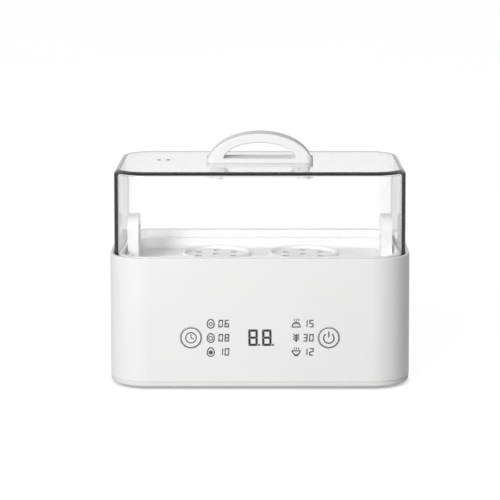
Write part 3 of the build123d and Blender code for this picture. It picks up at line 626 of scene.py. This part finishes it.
def dress_screws(node, body):
    """Screws with recess and thread in the places of the plain ones."""
    verts, faces = [], []
    for points in islands(nodes[node].data):
        low = [min(p[k] for p in points) for k in range(3)]
        high = [max(p[k] for p in points) for k in range(3)]
        axis = max(range(3), key=lambda k: high[k] - low[k])
        u, v = (k for k in range(3) if k != axis)
        middle_u, middle_v = (high[u] + low[u]) / 2, (high[v] + low[v]) / 2

        def off_axis(p):
            return ((p[u] - middle_u) ** 2 + (p[v] - middle_v) ** 2) ** 0.5

        def radius_at(end):
            return max(off_axis(p) for p in points if abs(p[axis] - end) < end_nearness)

        ends = radius_at(low[axis]), radius_at(high[axis])
        start, way = (low[axis], 1) if ends[0] > ends[1] else (high[axis], -1)
        head, shank = max(ends), min(ends)
        rim = [p for p in points if off_axis(p) > rim_share * head]
        head_height = max(abs(p[axis] - start) for p in rim)
        rings = screw_rings(head, head_height, shank, high[axis] - low[axis])

        def placed(x, y, w):
            place = [0.0, 0.0, 0.0]
            place[u], place[v], place[axis] = middle_u + x, middle_v + y, start + way * w
            return tuple(place)

        lofted([[placed(*p) for p in ring] for ring in rings], verts, faces)
    piece = add_piece(node + "_threaded", verts, faces, zinc, body)
    shade(piece.data, crease=40)
    outward(piece.data)
    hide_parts(node)


for node, body in screw_bodies.items():
    dress_screws(node, body)

# ---------------------------------------------------------------- printed marks

film, film_lift = 0.1, 0.03


def front_y(z):
    """Front face of the shell, which leans back with the draft."""
    return -(body_depth / 2 - (z - shell_low) * draft)


class Marks:
    """Flat printed shapes on the front, drawn in x and z."""

    def __init__(self):
        self.verts, self.faces = [], []

    def polygon(self, points):
        start = len(self.verts)
        self.verts += points
        self.faces.append(tuple(range(start, start + len(points))))

    def band(self, left, right, closed=False):
        """Quads between two rows of points."""
        start, n = len(self.verts), len(left)
        self.verts += list(left) + list(right)
        for i in range(n if closed else n - 1):
            j = (i + 1) % n
            self.faces.append((start + i, start + j, start + n + j, start + n + i))

    def stroke(self, points, width, closed=False):
        """A line of one width with mitred turns."""
        count = len(points)
        left, right = [], []
        for i, (x, z) in enumerate(points):
            before = points[i - 1] if i or closed else None
            after = points[(i + 1) % count] if i < count - 1 or closed else None
            normals = []
            for a, b in ((before, (x, z)), ((x, z), after)):
                if a is not None and b is not None:
                    way = Vector((b[0] - a[0], b[1] - a[1])).normalized()
                    normals.append(Vector((-way.y, way.x)))
            mean = sum(normals, Vector((0, 0))).normalized()
            reach = width / 2 / max(0.5, mean.dot(normals[0]))
            left.append((x + mean.x * reach, z + mean.y * reach))
            right.append((x - mean.x * reach, z - mean.y * reach))
        self.band(left, right, closed)

    def ring(self, x, z, radius, width, steps, start=0, sweep=360):
        """A ring, or the arc of it that sweeps on from start, in degrees."""
        closed = sweep >= 360
        count = steps if closed else steps + 1
        angles = [radians(start + sweep * i / steps) for i in range(count)]
        outside, inside = (
            [(x + r * cos(a), z + r * sin(a)) for a in angles] for r in (radius, radius - width)
        )
        self.band(outside, inside, closed)

    def disc(self, x, z, radius, steps=20):
        turn = [2 * pi * i / steps for i in range(steps)]
        self.polygon([(x + radius * cos(a), z + radius * sin(a)) for a in turn])

    def egg(self, x, z, height, width, steps=28):
        """Outline of a standing egg, its blunt end down."""
        half_share, taper, drop = 0.39, 0.13, 0.02
        points = []
        for i in range(steps):
            a = 2 * pi * i / steps
            half = half_share * height * (1 - taper * sin(a))
            points.append((x + half * cos(a), z + height / 2 * sin(a) - drop * height))
        self.stroke(points, width, True)

    def segments(self, x, z, width, height, thick, lean, lit):
        """One seven-segment figure with its lower left corner at x, z and mitred corners."""
        gap = 0.06 * thick
        t = thick
        right, high, mid = x + width, z + height, z + height / 2

        def draw(points):
            self.polygon([(px + lean * (pz - z), pz) for px, pz in points])

        def flat(outer, inner):
            draw([
                (x + gap, outer), (right - gap, outer),
                (right - t - gap, inner), (x + t + gap, inner),
            ])

        def tall(outer, inner, end):
            turn = 1 if end > mid else -1
            draw([
                (outer, end - turn * gap), (inner, end - turn * (t + gap)),
                (inner, mid + turn * (t / 2 + gap)), ((outer + inner) / 2, mid + turn * gap),
                (outer, mid + turn * gap),
            ])

        if "a" in lit:
            flat(high, high - t)
        if "d" in lit:
            flat(z, z + t)
        if "g" in lit:
            x0, x1, h = x + t / 2 + gap, right - t / 2 - gap, t / 2
            draw([
                (x0, mid), (x0 + h, mid - h), (x1 - h, mid - h),
                (x1, mid), (x1 - h, mid + h), (x0 + h, mid + h),
            ])
        if "f" in lit:
            tall(x, x + t, high)
        if "b" in lit:
            tall(right, right - t, high)
        if "e" in lit:
            tall(x, x + t, z)
        if "c" in lit:
            tall(right, right - t, z)

    def build(self, name, finish, body, face_y):
        """Ink as a thin film, its back just inside the plastic at y = face_y(z)."""
        verts = [(x, face_y(z) - film_lift, z) for x, z in self.verts]
        piece = add_piece(name, verts, self.faces, finish, body)
        step = piece.modifiers.new("film", "SOLIDIFY")
        step.thickness = film / 1000
        step.offset = 0
        applied(piece, crease=20)


segments_of = {
    "0": "abcdef", "1": "bc", "2": "abged", "3": "abgcd",
    "5": "afgcd", "6": "afgecd", "8": "abcdefg",
}
panel_high = 36.2
key_x = 46.1
row_step = 9.7
icon_left, icon_right = -32.9, 24.3
number_left, number_right = -24.2, 32.3
line = 0.78

# Two figures with their points
display = Marks()
figure_low, figure_width, figure_height, figure_line = 30.6, 6.3, 11.3, 1.55
point_low, point_size = 30.7, 1.2
for corner in (-7.75, 1.5):
    display.segments(
        corner, figure_low, figure_width, figure_height, figure_line, 0.0, segments_of["8"],
    )
for x in (-0.45, 8.75):
    left, right = x - point_size / 2, x + point_size / 2
    low, high = point_low, point_low + point_size
    display.polygon([(left, low), (right, low), (right, high), (left, high)])
display.build("display_figures", digit_ink, "housing", front_y)

labels = Marks()


def number(text, x, z):
    """Plain number in even strokes, centred on x and z."""
    pitch, width, height, before_middle = 4.1, 3.1, 5.2, 1.6
    thick, lean = 0.82, 0.05
    for i, figure in enumerate(text):
        left = x + (i - (len(text) - 1) / 2) * pitch - before_middle
        labels.segments(left, z - height / 2, width, height, thick, lean, segments_of[figure])


def steam(x, z):
    """Three short rising waves."""
    spacing, sway, rise, width = 1.5, 0.35, 0.5, 0.5
    for left in (x - spacing, x, x + spacing):
        labels.stroke([(left + k % 2 * sway, z + k * rise) for k in range(4)], width)


# Eggs whose yolk sets from row to row
for row, minutes in ((1, "06"), (0, "08"), (-1, "10")):
    z = panel_high + row * row_step
    labels.egg(icon_left, z, 6.0, line)
    if row > -1:
        labels.ring(icon_left, z - 0.4, 1.35 + 0.25 * (1 - row), 0.6, 24)
    else:
        labels.disc(icon_left, z - 0.4, 1.5)
    number(minutes, number_left, z)

for row, minutes in ((1, "15"), (0, "30"), (-1, "12")):
    number(minutes, number_right, panel_high + row * row_step)

# Bun
x, z = icon_right, panel_high + row_step
labels.ring(x, z - 1.7, 2.9, line, 28, 0, 180)
labels.stroke([(x - 3.1, z - 2.3), (x + 3.1, z - 2.3)], line)
for turn in (50, 90, 130):
    a = radians(turn)
    labels.stroke([
        (x + 0.8 * cos(a), z - 1.3 + 0.8 * sin(a)),
        (x + 2.0 * cos(a), z - 1.3 + 2.0 * sin(a)),
    ], 0.55)
steam(x, z + 1.7)

# Ear of grain
z = panel_high
labels.stroke([(x, z - 3.0), (x, z + 2.8)], 0.7)
for step in (-1.5, 0.0, 1.5):
    for side in (-1, 1):
        labels.stroke([(x, z + step - 0.6), (x + side * 2.0, z + step + 0.9)], 0.75)

# Bowl
z = panel_high - row_step
labels.ring(x, z + 0.5, 2.9, line, 28, 180, 180)
labels.stroke([(x - 3.1, z + 0.7), (x + 3.1, z + 0.7)], line)
labels.stroke([(x - 1.4, z - 2.6), (x + 1.4, z - 2.6)], 0.6)
steam(x, z + 1.5)
labels.build("panel_labels", ink, "housing", front_y)

key_face = node_box("left_key")[0].y
rim_radius, rim_line, rim_steps = 6.98, 0.62, 96
sign_radius, sign_steps = 3.9, 48

clock = Marks()
clock.ring(-key_x, panel_high, rim_radius, rim_line, rim_steps)
clock.ring(-key_x, panel_high, sign_radius, 0.72, sign_steps)
hands = ((0, 2.4), (0, 0), (1.8, -1.0))
clock.stroke([(-key_x + across, panel_high + up) for across, up in hands], 0.72)
clock.build("timer_key_mark", ink, "left_key", lambda z: key_face)

power = Marks()
power.ring(key_x, panel_high, rim_radius, rim_line, rim_steps)
power.ring(key_x, panel_high - 0.3, sign_radius, 0.85, sign_steps, 125, 290)
power.stroke([(key_x, panel_high + 0.2), (key_x, panel_high + 4.4)], 0.85)
power.build("power_key_mark", ink, "right_key", lambda z: key_face)

# ---------------------------------------------------------------- stage and camera

object_middle = Vector((0, 0, 0.09))
sky_as_light = 0.29
floor_half = 6000


def set_world(strength):
    """White to the eye, in gloss and through clear pieces, and softer as a light."""
    world = bpy.data.worlds.new("studio")
    world.use_nodes = True
    bpy.context.scene.world = world
    tree = world.node_tree
    tree.nodes.clear()
    back = add_node(tree, "Background", {"Color": (1, 1, 1, 1)})
    level = add_node(tree, "MapRange", {"To Min": strength, "To Max": 1.0})
    tree.links.new(seen_directly(tree), level.inputs["Value"])
    tree.links.new(level.outputs["Result"], back.inputs["Strength"])
    tree.links.new(back.outputs[0], add_node(tree, "OutputWorld").inputs["Surface"])


def floor_material():
    """Pale paper that glows a little to the eye, so that it meets the white backdrop, and less under
    the body as painted shadow.
    """
    n = Nodes("pale_floor")
    n.put("Base Color", n.ramp(n.noise(3, 2), ((0.3, 0.40), (0.7, 0.42))))
    n.put("Roughness", 0.9)
    n.put("Specular IOR Level", 0.0)
    n.put("Emission Color", (1.0, 1.0, 1.0))
    # Painted shadow: it glows less under the body, so that the floor there shows dark as a contact
    # shadow
    under, beside = 6, 2
    away = n.vector("LENGTH", n.vector("MAXIMUM", n.past_corners()))
    glow_with_painted_shadow = n.mapped(away, {
        "From Min": (body_radius - under) / 1000, "From Max": (body_radius + beside) / 1000,
        "To Min": 0.35, "To Max": 0.87,
    })
    n.put("Emission Strength", n.math("MULTIPLY", seen_directly(n.tree), glow_with_painted_shadow))
    return n


def soft_light(name, place, size, watts):
    """A rectangular lamp that faces the middle of the object."""
    lamp = bpy.data.lights.new(name, "AREA")
    lamp.shape = "RECTANGLE"
    lamp.size, lamp.size_y = size
    lamp.energy = watts
    piece = in_scene(name, lamp)
    piece.location = place
    way = object_middle - Vector(place)
    piece.rotation_euler = way.to_track_quat("-Z", "Y").to_euler()


set_world(sky_as_light)
signs = ((-1, -1), (1, -1), (1, 1), (-1, 1))
floor_corners = [(sx * floor_half, sy * floor_half, 0) for sx, sy in signs]
floor_mesh = new_mesh("floor", floor_corners, [(0, 1, 2, 3)])
floor_mesh.materials.append(floor_material().mat)
in_scene("floor", floor_mesh)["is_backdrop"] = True
soft_light("key_light", place=(-0.68, -1.32, 0.72), size=(0.7, 0.6), watts=18.3)
soft_light("front_light", place=(-0.1, -1.9, 0.35), size=(0.8, 0.5), watts=3)

# Fitted to the photo's outlines
camera_pitch = 10.924
camera = in_scene("camera", bpy.data.cameras.new("camera"))
camera.data.sensor_width = 36
camera.data.lens = 135.3
camera.data.shift_x = -0.0198
camera.location = (0, -1.2816, 0.3321)
camera.rotation_euler = (radians(90 - camera_pitch), 0, 0)
bpy.context.scene.camera = camera
bpy.context.scene.view_settings.view_transform = "Standard"

low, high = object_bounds()
